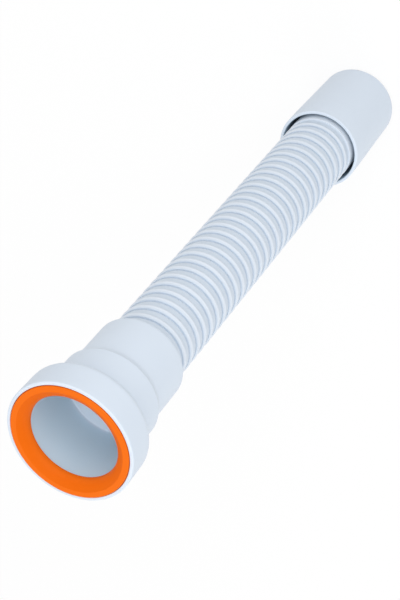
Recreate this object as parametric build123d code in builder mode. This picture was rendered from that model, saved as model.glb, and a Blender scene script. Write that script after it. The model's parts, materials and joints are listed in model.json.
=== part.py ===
"""Flexible waste pipe: a ribbed tube with a push-in socket and seal at one end and a plain sleeve at the other.

The pipe stands on its outlet end. The origin is the centre of that end and +Z runs up the pipe's axis to the
inlet mouth. All sizes are in millimetres. Radii build outwards from the tube, and heights build upwards from
the outlet end.
"""
import os

from build123d import *

# Fit between pieces that are pushed together
fit_gap = 0.1

# Corrugated tube: narrow ribs round a thin wall, each with a crease at its inlet side, and two plain cuffs
tube_crest_radius = 21.0
rib_height = 0.9
rib_fall = 2.3
rib_rise = 2.2
crease_depth = 0.4
rib_pitch = 7.95
rib_count = 29
tube_wall = 1.0
lower_band = 5.7
upper_band = 8.9
lower_cuff_length = 66.5
upper_cuff_length = 29.85

# Outlet sleeve: a cylindrical land at its open rim, then an even taper to the outlet end
sleeve_gap = 2.1
sleeve_wall = 1.9
sleeve_length = 67.0
sleeve_land_length = 14.0
sleeve_taper = 1.15
sleeve_bore_depth = 40.0
sleeve_bore_step = 1.1
sleeve_end_chamfer = 1.2
outlet_web = 2.5
stub_length = 22.0
stub_wall = 1.5

# Inlet socket: head, middle section and rear collar, each a step smaller than the one before
collar_wall = 3.0
collar_length = 29.7
collar_end_chamfer = 2.0
ledge_thickness = 1.5
ledge_overlap = 1.6
step_drop = 2.35
step_length = 4.0
chamber_step = 2.8
chamber_depth = 23.45
chamber_wall = 2.6
seat_step = 7.5
seat_depth = 18.0
head_wall = 1.8
head_rear_wall = 2.0
head_rear_chamfer = 3.0
rim_chamfer = 1.2

# Seal ring: flat face that stands out of the rim, funnel and lip, with a skirt round the inner wall
seal_stand = 0.5
seal_face_width = 3.3
seal_funnel_depth = 2.7
seal_lip_reach = 0.6
seal_lip_length = 3.4

# Radii of the tube
tube_band_radius = tube_crest_radius - rib_height
tube_crease_radius = tube_band_radius - crease_depth
tube_bore_radius = tube_band_radius - tube_wall

# Radii of the sleeve
sleeve_bore_radius = tube_crest_radius + sleeve_gap
sleeve_lower_bore_radius = sleeve_bore_radius - sleeve_bore_step
sleeve_land_radius = sleeve_bore_radius + sleeve_wall
sleeve_end_radius = sleeve_land_radius - sleeve_taper
stub_radius = tube_bore_radius - fit_gap
stub_bore_radius = stub_radius - stub_wall

# Radii of the socket
collar_bore_radius = tube_crest_radius + fit_gap
collar_radius = collar_bore_radius + collar_wall
ledge_bore_radius = tube_bore_radius - ledge_overlap
chamber_radius = tube_crest_radius + chamber_step
middle_radius = chamber_radius + chamber_wall
seat_radius = chamber_radius + seat_step
head_radius = seat_radius + head_wall

# Radii of the seal
seal_radius = seat_radius - fit_gap
seal_face_radius = seal_radius - seal_face_width
seal_lip_radius = chamber_radius - seal_lip_reach
seal_skirt_radius = middle_radius + fit_gap

# Heights along the axis
lower_cuff_end = outlet_web + lower_cuff_length
first_rib = lower_cuff_end + lower_band
last_rib = first_rib + (rib_count - 1) * rib_pitch
upper_cuff_start = last_rib + upper_band
tube_top = upper_cuff_start + upper_cuff_length
sleeve_land_start = sleeve_length - sleeve_land_length
sleeve_bore_floor = sleeve_length - sleeve_bore_depth
stub_top = outlet_web + stub_length
ledge_top = tube_top + ledge_thickness
collar_top = ledge_top - step_drop
collar_end = collar_top - collar_length
middle_rear = collar_top + step_length
seat_floor = ledge_top + chamber_depth
head_rear = seat_floor - head_rear_wall
mouth = seat_floor + seat_depth
seal_face = mouth + seal_stand
seal_lip_start = seal_face - seal_funnel_depth
seal_lip_end = seal_lip_start - seal_lip_length
inner_wall_top = seal_lip_end - fit_gap


# Corrugated tube: one thin wall with a plain bore, rings of ribs outside and a thicker plain cuff at each end
with BuildPart() as corrugated_tube:
    with BuildSketch(Plane.XZ):
        with BuildLine():
            outside = [(tube_crest_radius, outlet_web), (tube_crest_radius, lower_cuff_end)]
            outside.append((tube_band_radius, lower_cuff_end))
            for rib in range(rib_count):
                crest = first_rib + rib * rib_pitch
                outside.append((tube_band_radius, crest - rib_fall))
                outside.append((tube_crest_radius, crest))
                outside.append((tube_crease_radius, crest + rib_rise))
            outside.append((tube_band_radius, upper_cuff_start))
            outside.append((tube_crest_radius, upper_cuff_start))
            outside.append((tube_crest_radius, tube_top))
            bore = [(tube_bore_radius, tube_top), (tube_bore_radius, outlet_web)]
            Polyline(*outside, *bore, close=True)
        make_face()
    revolve(axis=Axis.Z)


# Outlet sleeve: an outer wall open towards the inlet, joined by an end web to a stub inside the tube
with BuildPart() as outlet_sleeve:
    with BuildSketch(Plane.XZ) as sleeve_section:
        with BuildLine():
            Polyline(
                (stub_bore_radius, 0),
                (sleeve_end_radius, 0),
                (sleeve_land_radius, sleeve_land_start),
                (sleeve_land_radius, sleeve_length),
                (sleeve_bore_radius, sleeve_length),
                (sleeve_bore_radius, sleeve_bore_floor),
                (sleeve_lower_bore_radius, sleeve_bore_floor),
                (sleeve_lower_bore_radius, outlet_web),
                (stub_radius, outlet_web),
                (stub_radius, stub_top),
                (stub_bore_radius, stub_top),
                close=True,
            )
        make_face()
        end_corner = sleeve_section.vertices().sort_by_distance((sleeve_end_radius, 0))[0]
        chamfer(end_corner, length=sleeve_end_chamfer)
    revolve(axis=Axis.Z)


# Inlet socket: one moulding from the rim round the seal down to the collar that grips the tube's upper cuff
with BuildPart() as inlet_socket:
    with BuildSketch(Plane.XZ) as socket_section:
        with BuildLine():
            Polyline(
                (seat_radius, mouth),
                (head_radius, mouth),
                (head_radius, head_rear),
                (middle_radius, head_rear),
                (middle_radius, middle_rear),
                (collar_radius, collar_top),
                (collar_radius, collar_end),
                (collar_bore_radius, collar_end),
                (collar_bore_radius, tube_top),
                (ledge_bore_radius, tube_top),
                (ledge_bore_radius, ledge_top),
                (chamber_radius, ledge_top),
                (chamber_radius, inner_wall_top),
                (middle_radius, inner_wall_top),
                (middle_radius, seat_floor),
                (seat_radius, seat_floor),
                close=True,
            )
        make_face()
        rim_corner = socket_section.vertices().sort_by_distance((head_radius, mouth))[0]
        chamfer(rim_corner, length=rim_chamfer)
        head_corner = socket_section.vertices().sort_by_distance((head_radius, head_rear))[0]
        chamfer(head_corner, length=head_rear_chamfer)
        collar_corner = socket_section.vertices().sort_by_distance((collar_radius, collar_end))[0]
        chamfer(collar_corner, length=collar_end_chamfer)
    revolve(axis=Axis.Z)


# Seal ring: a rubber cuff that fills the seat round the inner wall, with a funnel down to a gripping lip
with BuildPart() as seal_ring:
    with BuildSketch(Plane.XZ):
        with BuildLine():
            Polyline(
                (seal_radius, seat_floor),
                (seal_radius, seal_face),
                (seal_face_radius, seal_face),
                (seal_lip_radius, seal_lip_start),
                (seal_lip_radius, seal_lip_end),
                (seal_skirt_radius, seal_lip_end),
                (seal_skirt_radius, seat_floor),
                close=True,
            )
        make_face()
    revolve(axis=Axis.Z)


corrugated_tube.part.label = "corrugated_tube"
outlet_sleeve.part.label = "outlet_sleeve"
inlet_socket.part.label = "inlet_socket"
seal_ring.part.label = "seal_ring"

os.makedirs("parts", exist_ok=True)
export_step(corrugated_tube.part, "parts/corrugated_tube.step")
export_step(outlet_sleeve.part, "parts/outlet_sleeve.step")
export_step(inlet_socket.part, "parts/inlet_socket.step")
export_step(seal_ring.part, "parts/seal_ring.step")
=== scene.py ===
import json

import bpy
import numpy as np
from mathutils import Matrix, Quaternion, Vector


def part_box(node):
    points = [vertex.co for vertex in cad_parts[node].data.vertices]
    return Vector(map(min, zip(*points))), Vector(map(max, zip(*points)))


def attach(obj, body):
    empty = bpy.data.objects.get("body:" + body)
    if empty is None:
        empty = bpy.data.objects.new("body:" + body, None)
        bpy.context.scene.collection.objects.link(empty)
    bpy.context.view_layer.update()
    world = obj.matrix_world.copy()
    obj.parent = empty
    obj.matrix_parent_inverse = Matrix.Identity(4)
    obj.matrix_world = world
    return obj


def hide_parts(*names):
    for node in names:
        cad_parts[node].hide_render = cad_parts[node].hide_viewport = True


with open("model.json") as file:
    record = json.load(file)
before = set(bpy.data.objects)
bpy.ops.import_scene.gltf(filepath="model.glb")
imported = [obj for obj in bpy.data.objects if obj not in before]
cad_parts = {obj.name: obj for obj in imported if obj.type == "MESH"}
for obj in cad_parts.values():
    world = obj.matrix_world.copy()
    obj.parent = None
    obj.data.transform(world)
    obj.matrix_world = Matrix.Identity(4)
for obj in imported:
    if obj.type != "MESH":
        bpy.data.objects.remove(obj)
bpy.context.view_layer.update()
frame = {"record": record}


# Outlet sleeve: the plain white end that is pushed into a drain socket. It is one polypropylene moulding,
# open towards the inlet, with a web at the outlet end that carries a short stub inside the tube.
mm = 0.001
fit_gap = 0.1 * mm
crisp_edge = 0.3 * mm
soft_edge = 0.4 * mm
mounts = {mount["name"]: mount for mount in frame["record"]["mounts"]}
outlet_end = 0
sleeve_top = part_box("outlet_sleeve")[1].z
sleeve_taper = 1.15 * mm
sleeve_wall = 1.9 * mm
sleeve_bore_step = 1.1 * mm
sleeve_bore_depth = 40 * mm
sleeve_end_rounding = 1.8 * mm
sleeve_rim_rounding = 0.6 * mm
land_radius = mounts["outlet_spigot"]["dims"]["r_mm"] * mm
land_length = mounts["outlet_spigot"]["dims"]["length_mm"] * mm
land_start = sleeve_top - land_length
land_blend = 40 * mm
sleeve_end_radius = land_radius - sleeve_taper
sleeve_bore = land_radius - sleeve_wall
sleeve_lower_bore = sleeve_bore - sleeve_bore_step
sleeve_bore_floor = sleeve_top - sleeve_bore_depth
tube_low, tube_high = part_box("corrugated_tube")
tube_bore = 19.1 * mm
web_thickness = tube_low.z
web_fillet = 0.5 * mm
stub_wall = 1.5 * mm
stub_length = 22 * mm
stub_radius = tube_bore - fit_gap
stub_bore = stub_radius - stub_wall
stub_top = web_thickness + stub_length


def outline(corners, bends, runs):
    """A closed line of radius and height through corners (radius, height, rounding), anticlockwise.

    At each corner an arc of the given rounding leaves its side at rounding times the tangent of half the
    turn. It has as many points as bends says. Each straight side between two arcs gets as many points as
    runs says, which crowd towards its ends as (1 - cos) of an even spread.
    """
    corners = np.array(corners)
    place = corners[:, :2]
    rounding = corners[:, 2:]
    ahead = np.roll(place, -1, 0) - place
    ahead /= np.linalg.norm(ahead, axis=1, keepdims=True)
    behind = np.roll(ahead, 1, 0)
    cross = behind[:, 0] * ahead[:, 1] - behind[:, 1] * ahead[:, 0]
    turn = np.arctan2(cross, (behind * ahead).sum(1))[:, None]
    start = place - behind * rounding * np.abs(np.tan(turn / 2))
    spoke = np.stack([behind[:, 1], -behind[:, 0]], -1) * rounding * np.sign(turn)
    swept = turn * np.linspace(0, 1, bends)
    across = spoke[:, :1] * np.cos(swept) - spoke[:, 1:] * np.sin(swept)
    along = spoke[:, :1] * np.sin(swept) + spoke[:, 1:] * np.cos(swept)
    arcs = (start - spoke)[:, None] + np.stack([across, along], -1)
    share = (1 - np.cos(np.linspace(0, np.pi, runs + 2)[1:-1])) / 2
    gap = np.roll(arcs[:, 0], -1, 0) - arcs[:, -1]
    sides = arcs[:, -1:] + share[:, None] * gap[:, None]
    return np.concatenate([arcs, sides], 1).reshape(-1, 2)


def turned(name, line, around):
    """The closed line turned once about the pipe's axis, in as many steps as around says.

    Point (r, z) at angle a is (r cos a, r sin a, z).
    """
    angle = np.arange(around) * (2 * np.pi / around)
    radius, height = line.T
    across = np.outer(np.cos(angle), radius)
    deep = np.outer(np.sin(angle), radius)
    places = np.stack([across, deep, np.broadcast_to(height, across.shape)], -1)
    index = np.arange(places.size // 3).reshape(across.shape)
    beside = np.roll(index, -1, 0)
    faces = np.stack([index, beside, np.roll(beside, -1, 1), np.roll(index, -1, 1)], -1)
    mesh = bpy.data.meshes.new(name)
    mesh.from_pydata(places.reshape(-1, 3).tolist(), [], faces.reshape(-1, 4).tolist())
    mesh.shade_smooth()
    piece = bpy.data.objects.new(name, mesh)
    bpy.context.scene.collection.objects.link(piece)
    return piece


sleeve = turned("outlet_sleeve_moulding", outline([
    (stub_bore, outlet_end, soft_edge),
    (sleeve_end_radius, outlet_end, sleeve_end_rounding),
    (land_radius, land_start, land_blend),
    (land_radius, sleeve_top, sleeve_rim_rounding),
    (sleeve_bore, sleeve_top, soft_edge),
    (sleeve_bore, sleeve_bore_floor, crisp_edge),
    (sleeve_lower_bore, sleeve_bore_floor, crisp_edge),
    (sleeve_lower_bore, web_thickness, web_fillet),
    (stub_radius, web_thickness, web_fillet),
    (stub_radius, stub_top, soft_edge),
    (stub_bore, stub_top, soft_edge),
], bends=9, runs=6), around=192)


class Finish:
    """A socket of a material. Arithmetic on it adds Math nodes, and node() adds any other node."""

    def __init__(self, socket):
        self.socket = socket
        self.tree = socket.id_data

    def node(self, kind, settings, inputs, output=0):
        """A new node: its settings are set first, then each input gets a value or a link."""
        made = self.tree.nodes.new(kind)
        for name, value in settings.items():
            setattr(made, name, value)
        for name, value in inputs.items():
            if isinstance(value, Finish):
                self.tree.links.new(value.socket, made.inputs[name])
            else:
                made.inputs[name].default_value = value
        return Finish(made.outputs[output])

    def maths(self, operation, first, second):
        """The result of one Math node."""
        return self.node("ShaderNodeMath", {"operation": operation}, {0: first, 1: second})

    def __add__(self, other):
        return self.maths("ADD", self, other)

    def __mul__(self, other):
        return self.maths("MULTIPLY", self, other)

    __radd__ = __add__
    __rmul__ = __mul__

    def noise(self, size, detail):
        """Cloudy values from 0 to 1, with patches of about the given size in metres."""
        inputs = {"Vector": self, "Scale": 1 / size, "Detail": detail, "Roughness": 0.55}
        return self.node("ShaderNodeTexNoise", {"noise_dimensions": "3D"}, inputs)

    def between(self, low, high):
        """The colour that lies this far from low to high."""
        inputs = {"Factor": self, 6: (*low, 1), 7: (*high, 1)}
        return self.node("ShaderNodeMix", {"data_type": "RGBA"}, inputs, 2)

    def times(self, colour, tint):
        """The colour, multiplied by the tint as far as this value says."""
        inputs = {"Factor": self, 6: colour, 7: (*tint, 1)}
        return self.node("ShaderNodeMix", {"data_type": "RGBA", "blend_type": "MULTIPLY"}, inputs, 2)

    def clamped(self, start, end):
        """0 where this value is at start, 1 where it is at end, and an even rise between them."""
        return self.node("ShaderNodeMapRange", {}, {"Value": self, "From Min": start, "From Max": end})

    def within(self, radius, floor):
        """1 nearer to the axis than the radius and above the floor, 0 elsewhere, with soft edges."""
        soft_radius = 0.25 * mm
        soft_floor = 1 * mm
        split = self.node("ShaderNodeSeparateXYZ", {}, {0: self}).socket.node
        across, deep, height = (Finish(split.outputs[axis]) for axis in "XYZ")
        reach = across * across + deep * deep
        near = reach.clamped((radius + soft_radius) ** 2, (radius - soft_radius) ** 2)
        return near * height.clamped(floor - soft_floor, floor + soft_floor)


cloud_size = 38 * mm
gloss_size = 9 * mm
grain_strength = 0.35


def moulded_surface(name, low, high, painted_shade_zone, painted_shade_tint, roughness, spread, grain, depth, constants):
    """A plastic or rubber skin on Object coordinates: cloudy colour, uneven gloss and a fine grain.

    The painted shade zone is a radius and a floor. Nearer to the axis than the radius and above the floor,
    the tint multiplies the colour as painted shade. That darkens the insides, and on the tube all that
    lies below the crests.
    """
    material = bpy.data.materials.new(name)
    material.use_nodes = True
    tree = material.node_tree
    shader = tree.nodes["Principled BSDF"]
    for socket, value in constants.items():
        shader.inputs[socket].default_value = value
    coordinates = Finish(tree.nodes.new("ShaderNodeTexCoord").outputs["Object"])
    cloud = coordinates.noise(cloud_size, detail=3)
    gloss = coordinates.noise(gloss_size, detail=4)
    skin = coordinates.noise(grain, detail=3)
    bump = {"Height": skin, "Strength": grain_strength, "Distance": depth}
    wanted = {
        "Base Color": coordinates.within(*painted_shade_zone).times(cloud.between(low, high), painted_shade_tint),
        "Roughness": roughness + spread * gloss,
        "Normal": skin.node("ShaderNodeBump", {}, bump),
    }
    for socket, value in wanted.items():
        tree.links.new(value.socket, shader.inputs[socket])
    return material


white_plastic = {
    "low": (0.694, 0.774, 0.874),
    "high": (0.734, 0.81, 0.904),
    "roughness": 0.4,
    "spread": 0.12,
    "grain": 0.7 * mm,
    "depth": 0.02 * mm,
    "constants": {"IOR": 1.49, "Specular IOR Level": 0.3},
}
# Inside the sleeve's bore, above its lowest part, the colour is darkened: painted shade for the dark gap
# round the tube.
sleeve_shade_margin = 0.3 * mm
sleeve_shade_floor = 10 * mm
sleeve_plastic = moulded_surface(
    "satin_white_sleeve",
    painted_shade_zone=(sleeve_bore + sleeve_shade_margin, sleeve_shade_floor),
    painted_shade_tint=(0.55, 0.62, 0.64),
    **white_plastic,
)
sleeve.data.materials.append(sleeve_plastic)
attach(sleeve, "root")
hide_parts("outlet_sleeve")


# Corrugated tube: a thin polypropylene tube blown with rounded ribs outside, so that it bends. Each rib
# ends in a narrow crease at its inlet side. The plain lower cuff sits on the sleeve's stub, and the upper
# one in the socket's collar.
rib_radius = tube_high.x
rib_height = 0.9 * mm
rib_count = 29
rib_pitch = 7.95 * mm
rib_fall = 1.9 * mm
rib_rise = 1.9 * mm
crest_rise = 0.1 * mm
shoulder_drop = 0.5 * mm
crease_width = 1.0 * mm
crease_wall = 0.2 * mm
lower_cuff_length = 66.5 * mm
upper_cuff_length = 29.85 * mm
lower_band = 5.7 * mm
foot_rounding = 0.8 * mm
crest_rounding = 1.0 * mm
crease_floor_edge = 0.1 * mm
crease_edge = 0.15 * mm
band_radius = rib_radius - rib_height
crest_radius = rib_radius + crest_rise
shoulder_radius = rib_radius - shoulder_drop
crease_radius = tube_bore + crease_wall
lower_cuff_end = tube_low.z + lower_cuff_length
upper_cuff_start = tube_high.z - upper_cuff_length
first_rib = lower_cuff_end + lower_band

tube_corners = [
    (tube_bore, tube_low.z, crisp_edge),
    (rib_radius, tube_low.z, crisp_edge),
    (rib_radius, lower_cuff_end, soft_edge),
    (band_radius, lower_cuff_end, crisp_edge),
]
for rib in range(rib_count):
    crest = first_rib + rib * rib_pitch
    crease = crest + rib_rise
    tube_corners += [
        (band_radius, crest - rib_fall, foot_rounding),
        (crest_radius, crest, crest_rounding),
        (shoulder_radius, crease, crisp_edge),
        (crease_radius, crease, crease_floor_edge),
        (crease_radius, crease + crease_width, crease_floor_edge),
        (band_radius, crease + crease_width, crease_edge),
    ]
tube_corners += [
    (band_radius, upper_cuff_start, crisp_edge),
    (rib_radius, upper_cuff_start, soft_edge),
    (rib_radius, tube_high.z, crisp_edge),
    (tube_bore, tube_high.z, crisp_edge),
]
tube = turned("corrugated_tube_wall", outline(tube_corners, bends=4, runs=1), around=108)
# Below the crests the tube's colour is darkened as painted shade, so the crests stand out as a painted
# highlight.
painted_crest_light_height = 0.6 * mm
tube_plastic = moulded_surface(
    "pale_blue_white_polypropylene",
    low=(0.735, 0.8, 0.885),
    high=(0.77, 0.83, 0.915),
    painted_shade_zone=(band_radius + painted_crest_light_height, outlet_end),
    painted_shade_tint=(0.845, 0.88, 0.905),
    roughness=0.28,
    spread=0.1,
    grain=0.9 * mm,
    depth=0.02 * mm,
    constants={"IOR": 1.49},
)
tube.data.materials.append(tube_plastic)
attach(tube, "root")
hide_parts("corrugated_tube")


# Inlet socket: the white bell that takes the trap's tail. One polypropylene moulding in three steps, with
# a seat for the seal in its head, a chamber below it and a ledge that stops the tail. Its collar grips
# the tube's upper cuff.
socket_low, socket_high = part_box("inlet_socket")
head_radius = socket_high.x
mouth = socket_high.z
head_wall = 1.8 * mm
head_draft = 0.25 * mm
head_rear_wall = 2 * mm
chamber_radius = 23.8 * mm
chamber_wall = 2.6 * mm
collar_wall = 3 * mm
ledge_overlap = 1.6 * mm
ledge_thickness = 1.5 * mm
step_drop = 2.35 * mm
step_length = 4 * mm
seat_radius = head_radius - head_wall
head_rear_radius = head_radius - head_draft
middle_radius = chamber_radius + chamber_wall
collar_bore = rib_radius + fit_gap
collar_radius = collar_bore + collar_wall
ledge_bore = tube_bore - ledge_overlap
ledge_top = tube_high.z + ledge_thickness
collar_top = ledge_top - step_drop
middle_rear = collar_top + step_length
lip_length = mounts["inlet_lip"]["dims"]["length_mm"] * mm
lip_top = mounts["inlet_lip"]["pos_m"][2] + lip_length / 2
lip_end = lip_top - lip_length
inner_wall_top = lip_end - fit_gap
seat_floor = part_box("seal_ring")[0].z
head_rear = seat_floor - head_rear_wall
collar_mouth_edge = 0.25 * mm
collar_end_rounding = 2.7 * mm
cone_foot_blend = 8 * mm
cone_edge = 0.5 * mm
head_fillet = 2 * mm
head_rear_rounding = 4.5 * mm
rim_rounding = 0.8 * mm
chamber_fillet = 0.8 * mm
socket = turned("inlet_socket_moulding", outline([
    (ledge_bore, tube_high.z, crisp_edge),
    (collar_bore, tube_high.z, crisp_edge),
    (collar_bore, socket_low.z, collar_mouth_edge),
    (collar_radius, socket_low.z, collar_end_rounding),
    (collar_radius, collar_top, cone_foot_blend),
    (middle_radius, middle_rear, cone_edge),
    (middle_radius, head_rear, head_fillet),
    (head_rear_radius, head_rear, head_rear_rounding),
    (head_radius, mouth, rim_rounding),
    (seat_radius, mouth, crisp_edge),
    (seat_radius, seat_floor, crisp_edge),
    (middle_radius, seat_floor, crisp_edge),
    (middle_radius, inner_wall_top, crisp_edge),
    (chamber_radius, inner_wall_top, crisp_edge),
    (chamber_radius, ledge_top, chamber_fillet),
    (ledge_bore, ledge_top, soft_edge),
], bends=9, runs=6), around=224)
# Inside the chamber, above the ledge, the colour is darkened and cooled as painted shade.
chamber_shade_margin = 0.2 * mm
chamber_shade_lift = 1.2 * mm
socket_plastic = moulded_surface(
    "satin_white_socket",
    painted_shade_zone=(chamber_radius + chamber_shade_margin, ledge_top + chamber_shade_lift),
    painted_shade_tint=(0.86, 0.95, 0.955),
    **white_plastic,
)
socket.data.materials.append(socket_plastic)
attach(socket, "root")
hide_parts("inlet_socket")


# Seal ring: the orange rubber cuff pressed into the socket's seat. Its flat face stands a little out of
# the rim, with a fine gap round it, and leads over a funnel to a lip that grips the tail. Its skirt goes
# round the socket's inner wall.
seal_low, seal_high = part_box("seal_ring")
seal_radius = seal_high.x
lip_radius = mounts["inlet_lip"]["dims"]["r_mm"] * mm
face_width = 3.3 * mm
rim_gap = 0.22 * mm
rim_gap_depth = 1.0 * mm
face_radius = seal_radius - face_width
neck_radius = seal_radius - rim_gap
neck_start = mouth - rim_gap_depth
skirt_radius = middle_radius + fit_gap
neck_edge = 0.1 * mm
face_rounding = 0.5 * mm
lip_curve = 5 * mm
seal = turned("seal_ring_cuff", outline([
    (skirt_radius, seal_low.z, soft_edge),
    (seal_radius, seal_low.z, soft_edge),
    (seal_radius, neck_start, neck_edge),
    (neck_radius, neck_start, neck_edge),
    (neck_radius, seal_high.z, face_rounding),
    (face_radius, seal_high.z, soft_edge),
    (lip_radius, lip_top, lip_curve),
    (lip_radius, lip_end, crisp_edge),
    (skirt_radius, lip_end, soft_edge),
], bends=9, runs=6), around=224)
# Inside the flat face and above the lip, the funnel's orange is darkened as painted shade.
orange_rubber = moulded_surface(
    "satin_orange_rubber",
    low=(0.86, 0.155, 0.006),
    high=(0.91, 0.172, 0.009),
    painted_shade_zone=(face_radius, lip_top),
    painted_shade_tint=(0.9, 0.84, 0.3),
    roughness=0.42,
    spread=0.12,
    grain=0.5 * mm,
    depth=0.02 * mm,
    constants={"IOR": 1.5, "Specular IOR Level": 0.06},
)
seal.data.materials.append(orange_rubber)
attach(seal, "root")
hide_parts("seal_ring")


# Stage: a white floor that the pipe stands on, soft white surroundings, two soft boxes above the camera
# and a low one beside the pipe. To the eye the floor glows nearly white and takes a faint shadow, and it
# throws back less light than it seems to.
floor_half = 4.0
floor_bounce = 0.64
floor_white = 0.95
glow_share = 0.85
floor_mesh = bpy.data.meshes.new("floor")
floor_corners = [(-1, -1), (1, -1), (1, 1), (-1, 1)]
floor_mesh.from_pydata([(x * floor_half, y * floor_half, 0) for x, y in floor_corners], [], [(0, 1, 2, 3)])
floor = bpy.data.objects.new("floor", floor_mesh)
bpy.context.scene.collection.objects.link(floor)


def seen_directly(tree):
    """1 for rays from the camera or off a gloss, and 0 for the light that falls on a surface."""
    path = tree.nodes.new("ShaderNodeLightPath")
    return Finish(path.outputs["Is Camera Ray"]) + Finish(path.outputs["Is Glossy Ray"])


floor_material = bpy.data.materials.new("white_floor")
floor_material.use_nodes = True
floor_tree = floor_material.node_tree
floor_shader = floor_tree.nodes["Principled BSDF"]
floor_shader.inputs["Roughness"].default_value = 0.9
seen = seen_directly(floor_tree)
shade = seen.between((floor_bounce,) * 3, (floor_white,) * 3)
floor_tree.links.new(shade.socket, floor_shader.inputs["Base Color"])
glow = seen.node("ShaderNodeEmission", {}, {"Color": (1, 1, 1, 1), "Strength": 1})
layers = {0: seen * glow_share, 1: Finish(floor_shader.outputs[0]), 2: glow}
mixed = seen.node("ShaderNodeMixShader", {}, layers)
floor_tree.links.new(mixed.socket, floor_tree.nodes["Material Output"].inputs["Surface"])
floor_mesh.materials.append(floor_material)

world = bpy.data.worlds.new("soft_white_surroundings")
world.use_nodes = True
bpy.context.scene.world = world
surroundings = world.node_tree.nodes["Background"]
ambient = 0.78
seen = seen_directly(world.node_tree)
strength = ambient + (1 - ambient) * seen
world.node_tree.links.new(strength.socket, surroundings.inputs["Strength"])
surroundings.inputs["Color"].default_value = (1, 1, 1, 1)

lamp_distance = 1.5
lamp_size = 0.9


def soft_box(name, azimuth, elevation, watts):
    """A square lamp that faces the pipe's middle.

    It stands so many degrees round from the camera's side and so many above level.
    """
    lamp = bpy.data.lights.new(name, "AREA")
    lamp.size = lamp_size
    lamp.energy = watts
    box = bpy.data.objects.new(name, lamp)
    turn, lift = np.radians([azimuth, elevation])
    towards = Vector((-np.sin(turn) * np.cos(lift), -np.cos(turn) * np.cos(lift), np.sin(lift)))
    box.location = Vector((0, 0, mouth / 2)) + lamp_distance * towards
    box.rotation_euler = (-towards).to_track_quat("-Z", "Y").to_euler()
    bpy.context.scene.collection.objects.link(box)


soft_box("top_soft_box", azimuth=0, elevation=70, watts=3.9)
soft_box("front_soft_box", azimuth=0, elevation=37, watts=5.2)
soft_box("side_soft_box", azimuth=120, elevation=12, watts=4.5)


# Camera: it looks down into the mouth from the inlet side, turned so that the pipe runs from the lower
# left of the picture to the upper right.
camera_data = bpy.data.cameras.new("camera")
camera_data.lens = 98.62
camera_data.sensor_width = 36
camera = bpy.data.objects.new("camera", camera_data)
camera.location = Vector((0, -0.56225, 0.89159))
camera_aim = Vector((-0.00423, 0.04614, 0.19))
camera_roll = np.radians(-139.96)
facing = (camera_aim - camera.location).to_track_quat("-Z", "Y")
camera.rotation_mode = "QUATERNION"
camera.rotation_quaternion = facing @ Quaternion((0, 0, 1), camera_roll)
bpy.context.scene.collection.objects.link(camera)
bpy.context.scene.camera = camera
bpy.context.scene.view_settings.view_transform = "Standard"
